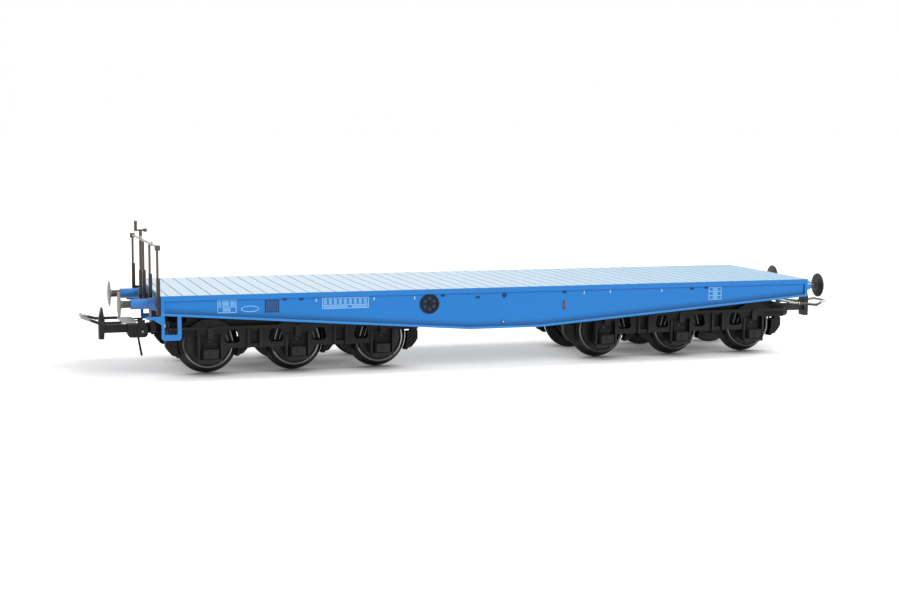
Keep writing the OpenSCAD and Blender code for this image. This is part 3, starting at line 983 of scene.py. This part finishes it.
class WAGON_OT_bolts(bpy.types.Operator):
    """Set bolt heads on the axle box lids and a bright rivet on each loop's pin"""
    bl_idname = "wagon.bolts"
    bl_label = "Bolts and rivets"

    def execute(self, context):
        s = sizes()
        bolt = {"Radius": s.bolt_radius, "Height": s.bolt_height, "Sides": 6}
        rivet = {"Radius": s.rivet_radius, "Height": 0.1 * MM, "Sides": 20}
        lid_y, pin_z = BOXES_HIGH.y - 0.2 * MM, LOOP_Z - 0.22 * MM
        lid = [(x * MM, z * MM) for x in (-1.1, 1.1) for z in (-2.3, -1.2)]
        for letter, axles in AXLES.items():
            points = [((axle.x + x, side * lid_y, AXLE_Z + z), ACROSS)
                      for axle in axles for side in BOTH for x, z in lid]
            repeat_piece(f"bogie_{letter}_bolts", points, studs(), bolt,
                         "bogie", f"bogie_{letter}")
        for letter, way in (("a", -1), ("b", 1)):
            points = [((way * LOOP_X, side * HOOK_HIGH.y, pin_z), ACROSS) for side in BOTH]
            repeat_piece(f"coupler_{letter}_rivets", points, studs(), rivet,
                         "steel", f"coupler_{letter}")
        return {"FINISHED"}


def web_y():
    """Where the right sill's web faces outwards."""
    return SILL_LOW.y + sizes().sill_recess


def on_webs(places):
    """Points on the webs of both sills, from (x, z) places in millimetres."""
    return [((x * MM, side * web_y(), z * MM), STRAIGHT) for side in BOTH for x, z in places]


class WAGON_OT_side_marks(bpy.types.Operator):
    """Paint the blank boxes, the ovals and the tick marks on the sills"""
    bl_idname = "wagon.side_marks"
    bl_label = "Side marks"

    # Places along the sill and above the rail, in millimetres
    boxes = (((-58.1, -54.5, 12.95, 15.45), (14.1,)),
             ((-37.7, -28.4, 13.15, 15.3), (13.85,)),
             ((45.45, 48.4, 12.65, 15.3), (13.5, 14.4)))
    oval = (-53.6, -50.1, 13.0, 14.2)
    cells = (*((-37.4 + i, -36.78 + i, 14.0, 15.1) for i in range(9)),
             (-37.4, -32.6, 13.32, 13.72), (-31.8, -28.7, 13.32, 13.72),
             (-57.85, -57.45, 14.3, 15.2), (-57.2, -55.95, 14.3, 15.2),
             (-55.65, -54.8, 14.3, 15.2), (-57.1, -55.6, 13.2, 13.9),
             (46.4, 47.5, 12.85, 13.35), (46.4, 47.5, 13.65, 14.25), (46.4, 47.5, 14.55, 15.1))
    ticks = ((-38.9, 14.9), (-27.3, 14.9), (-19.0, 14.8), (17.2, 14.9), (23.0, 15.0), (34.6, 14.9))

    def execute(self, context):
        s = sizes()
        front, back = web_y() - s.mark_proud, web_y() + s.mark_proud
        line = s.mark_line / MM

        def patch(mesh, x0, x1, z0, z1):
            """A painted oblong."""
            add_box(mesh, (x0 * MM, front, z0 * MM), (x1 * MM, back, z1 * MM))

        def band(mesh, rings):
            """A painted line between an outer and an inner ring of points."""
            add_band(mesh, *([(x * MM, z * MM) for x, z in ring] for ring in rings), front, back)

        def blank_box(mesh, x0, x1, z0, z1, rows):
            """An outlined box with lines across at some heights."""
            band(mesh, [[(x0 + inset, z0 + inset), (x1 - inset, z0 + inset),
                         (x1 - inset, z1 - inset), (x0 + inset, z1 - inset)]
                        for inset in (0, line)])
            for row in rows:
                patch(mesh, x0 + line, x1 - line, row - line / 2, row + line / 2)

        def round_line(mesh, x0, x1, z0, z1, steps=32):
            """An outlined oval."""
            turns = [math.tau * i / steps for i in range(steps)]
            band(mesh, [[((x0 + x1) / 2 + ((x1 - x0) / 2 - inset) * math.cos(turn),
                          (z0 + z1) / 2 + ((z1 - z0) / 2 - inset) * math.sin(turn))
                         for turn in turns] for inset in (0, line)])

        def outlines(mesh):
            for box, rows in self.boxes:
                blank_box(mesh, *box, rows)
            round_line(mesh, *self.oval)

        def blank_cells(mesh):
            for cell in self.cells:
                patch(mesh, *cell)

        new_piece("side_cells", both_sides(blank_cells), "pale", "wagon")
        new_piece("side_boxes", both_sides(outlines), "white", "wagon")
        repeat_piece("side_ticks", on_webs(self.ticks), bars(),
                     {"Size": (0.24 * MM, 2 * s.mark_proud, 0.6 * MM)},
                     "white", "wagon")
        return {"FINISHED"}


class WAGON_OT_side_fittings(bpy.types.Operator):
    """Set the mesh plates, lashing eyes, knobs and warning pins on the sills"""
    bl_idname = "wagon.side_fittings"
    bl_label = "Side fittings"

    # Places along the sill and above the rail, in millimetres
    eyes = ((-45.1, 15.25), (-41.8, 15.2), (-13.1, 15.1), (-5.8, 14.6), (12.9, 15.15),
            (41.6, 15.1), (44.9, 15.25))

    def execute(self, context):
        bar, web = sizes().mesh_bar, web_y()
        # painted shade: the lashing eyes are flat deep blue plates standing for their shaded openings
        repeat_piece("lashing_eyes", on_webs(self.eyes), bars(),
                     {"Size": (0.75 * MM, 0.2 * MM, 0.4 * MM)}, "shade", "wagon")

        wide, tall, mesh_x, mesh_z = 2.8 * MM, 2.4 * MM, -47.6 * MM, 14.0 * MM
        bar_depth = 0.08 * MM
        for name, count, size, step in (
                ("mesh_uprights", 6, (bar, bar_depth, tall * 0.84), Vector((wide * 0.15, 0, 0))),
                ("mesh_crossbars", 5, (wide * 0.86, bar_depth, bar), Vector((0, 0, tall * 0.18)))):
            steps = [step * (i - (count - 1) / 2) for i in range(count)]
            points = [(Vector((mesh_x, side * web, mesh_z)) + move, STRAIGHT)
                      for side in BOTH for move in steps]
            repeat_piece(name, points, bars(), {"Size": size}, "mesh", "wagon")

        # painted shade: a flat deep blue panel behind the mesh bars stands for the shade seen through
        # the mesh's holes
        def shade_panels(mesh):
            half = Vector((wide / 2, 0.03 * MM, tall / 2))
            centre = Vector((mesh_x, web, mesh_z))
            add_box(mesh, centre - half, centre + half)

        lower_knob = (-0.35 * MM, web, 9.5 * MM)

        def knobs(mesh):
            add_disc(mesh, (-0.1 * MM, web, 14.85 * MM), 0.42 * MM, 0.4 * MM)
            add_disc(mesh, lower_knob, 0.34 * MM, 0.2 * MM)

        def dots(mesh):
            add_disc(mesh, lower_knob, 0.2 * MM, 0.26 * MM)

        def pins(mesh):
            x, low, high, radius = 12.8 * MM, 11.75 * MM, 13.25 * MM, 0.22 * MM
            add_box(mesh, (x - radius, web - 0.12 * MM, low), (x + radius, web + 0.1 * MM, high))
            for end in (low, high):
                add_disc(mesh, (x, web, end), radius, 0.24 * MM)

        new_piece("mesh_shade_panels", both_sides(shade_panels), "shade", "wagon")
        new_piece("side_knobs", both_sides(knobs), "shade", "wagon")
        new_piece("side_dots", both_sides(dots), "white", "wagon")
        new_piece("warning_pins", both_sides(pins), "red", "wagon")
        return {"FINISHED"}


class WAGON_OT_stage(bpy.types.Operator):
    """Set the floor, the lamps, the sky and the camera"""
    bl_idname = "wagon.stage"
    bl_label = "Stage"

    def execute(self, context):
        scene = context.scene
        stage = scene.wagon_stage
        scene.view_settings.view_transform = "Standard"
        self.floor(stage)
        self.lamp("key light", stage.key_strength, stage.key_from, stage.key_spread)
        self.lamp("side light", stage.side_strength, stage.side_from, stage.side_spread)
        self.sky(scene, stage)
        self.camera(scene, stage)
        return {"FINISHED"}

    def floor(self, stage):
        """A pale table: white to the eye where it lies open, shaded close to the wagon by the lamps and
        by painted shade.
        """
        data = bpy.data.meshes.new("floor")
        far = stage.floor_reach
        data.from_pydata([(-far, -far, 0), (far, -far, 0), (far, far, 0), (-far, far, 0)],
                         [], [(0, 1, 2, 3)])
        floor = new_object("floor", data)
        pale = colours().floor
        finish = Finish("pale floor", pale, 0.7)
        glow = self.open_floor(finish, stage.floor_side, stage.floor_nook, gain=1.6, fall=1.9)
        core = self.open_floor(finish, stage.floor_side, stage.floor_core, gain=1.06, fall=2.4)
        # painted shade: near things that stand close, the glow for the eye fades and the floor's own
        # colour darkens to a tenth
        finish.set(emission_color=finish.blend(self.seen(finish) * glow, (0, 0, 0), (1, 1, 1)),
                   emission_strength=stage.floor_glow,
                   base_color=finish.blend(core, shade(pale, 0.1), pale))
        data.materials.append(finish.material)
        floor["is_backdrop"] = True

    def open_floor(self, finish, side, reach, gain, fall):
        """1 where the floor lies open to one side, falling to 0 under things that stand near."""
        nook = finish.add("ShaderNodeAmbientOcclusion", {"samples": 16},
                          {"Distance": reach, "Normal": Vector(side).normalized()})
        return (finish.output(nook, "AO") * gain).held() ** fall

    def seen(self, tree):
        """1 where the eye looks, also by way of a reflection or through glass, else 0."""
        path = tree.add("ShaderNodeLightPath")
        eye, mirrored, through = (tree.output(path, f"Is {way} Ray")
                                  for way in ("Camera", "Glossy", "Transmission"))
        return (eye + mirrored + through).held()

    def lamp(self, name, strength, came_from, spread):
        """A far lamp that shines from one direction."""
        data = bpy.data.lights.new(name, "SUN")
        data.energy = strength
        data.angle = spread
        lamp = new_object(name, data)
        lamp.rotation_euler = Vector(came_from).to_track_quat("Z", "Y").to_euler()
        lamp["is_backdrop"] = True

    def sky(self, scene, stage):
        """Plain soft light, seen as white by the camera and in reflections."""
        world = bpy.data.worlds.new("studio")
        world.use_nodes = True
        scene.world = world
        tree = Tree(world.node_tree)
        background = world.node_tree.nodes["Background"].inputs
        tree.put(background["Color"], (1, 1, 1, 1))
        tree.put(background["Strength"],
                 self.seen(tree) * (1 - stage.sky_strength) + stage.sky_strength)

    def camera(self, scene, stage):
        """The camera at its place, turned to the side, tilted down and rolled."""
        yaw, pitch, roll = stage.camera_yaw, stage.camera_pitch, stage.camera_roll
        ahead = Vector((-math.sin(yaw) * math.cos(pitch), math.cos(yaw) * math.cos(pitch),
                        -math.sin(pitch)))
        level = Vector((math.cos(yaw), math.sin(yaw), 0))
        upright = level.cross(ahead)
        right = level * math.cos(roll) + upright * math.sin(roll)
        up = upright * math.cos(roll) - level * math.sin(roll)
        data = bpy.data.cameras.new("camera")
        data.sensor_fit = "HORIZONTAL"
        data.sensor_width = stage.camera_film
        data.lens = stage.camera_lens
        data.clip_start = 10 * MM
        camera = new_object("camera", data)
        turn = Matrix((right, up, -ahead)).transposed()
        camera.matrix_world = Matrix.Translation(Vector(stage.camera_place)) @ turn.to_4x4()
        scene.camera = camera


STEPS = (WAGON_OT_finishes, WAGON_OT_spring_links, WAGON_OT_leaf_springs, WAGON_OT_end_plates,
         WAGON_OT_bolts, WAGON_OT_side_marks, WAGON_OT_side_fittings, WAGON_OT_stage)


class VIEW3D_PT_wagon(bpy.types.Panel):
    """The wagon's settings and steps"""
    bl_label = "Heavy flat wagon"
    bl_space_type = "VIEW_3D"
    bl_region_type = "UI"
    bl_category = "Wagon"

    def draw(self, context):
        layout = self.layout
        for step in STEPS:
            layout.operator(step.bl_idname)
        for name, group in SETTINGS:
            box = layout.box()
            for setting in group.__annotations__:
                box.prop(getattr(context.scene, name), setting)


CLASSES = tuple(group for name, group in SETTINGS) + STEPS + (VIEW3D_PT_wagon,)


def register():
    for cls in CLASSES:
        bpy.utils.register_class(cls)
    for name, group in SETTINGS:
        setattr(bpy.types.Scene, name, PointerProperty(type=group))


def unregister():
    for name, group in SETTINGS:
        delattr(bpy.types.Scene, name)
    for cls in reversed(CLASSES):
        bpy.utils.unregister_class(cls)


def main():
    register()
    for step in STEPS:
        group, action = step.bl_idname.split(".")
        getattr(getattr(bpy.ops, group), action)()
    {"cad": [list(corner) for corner in CAD_BOX], "scene": [list(corner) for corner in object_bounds()]}


if __name__ == "__main__":
    main()
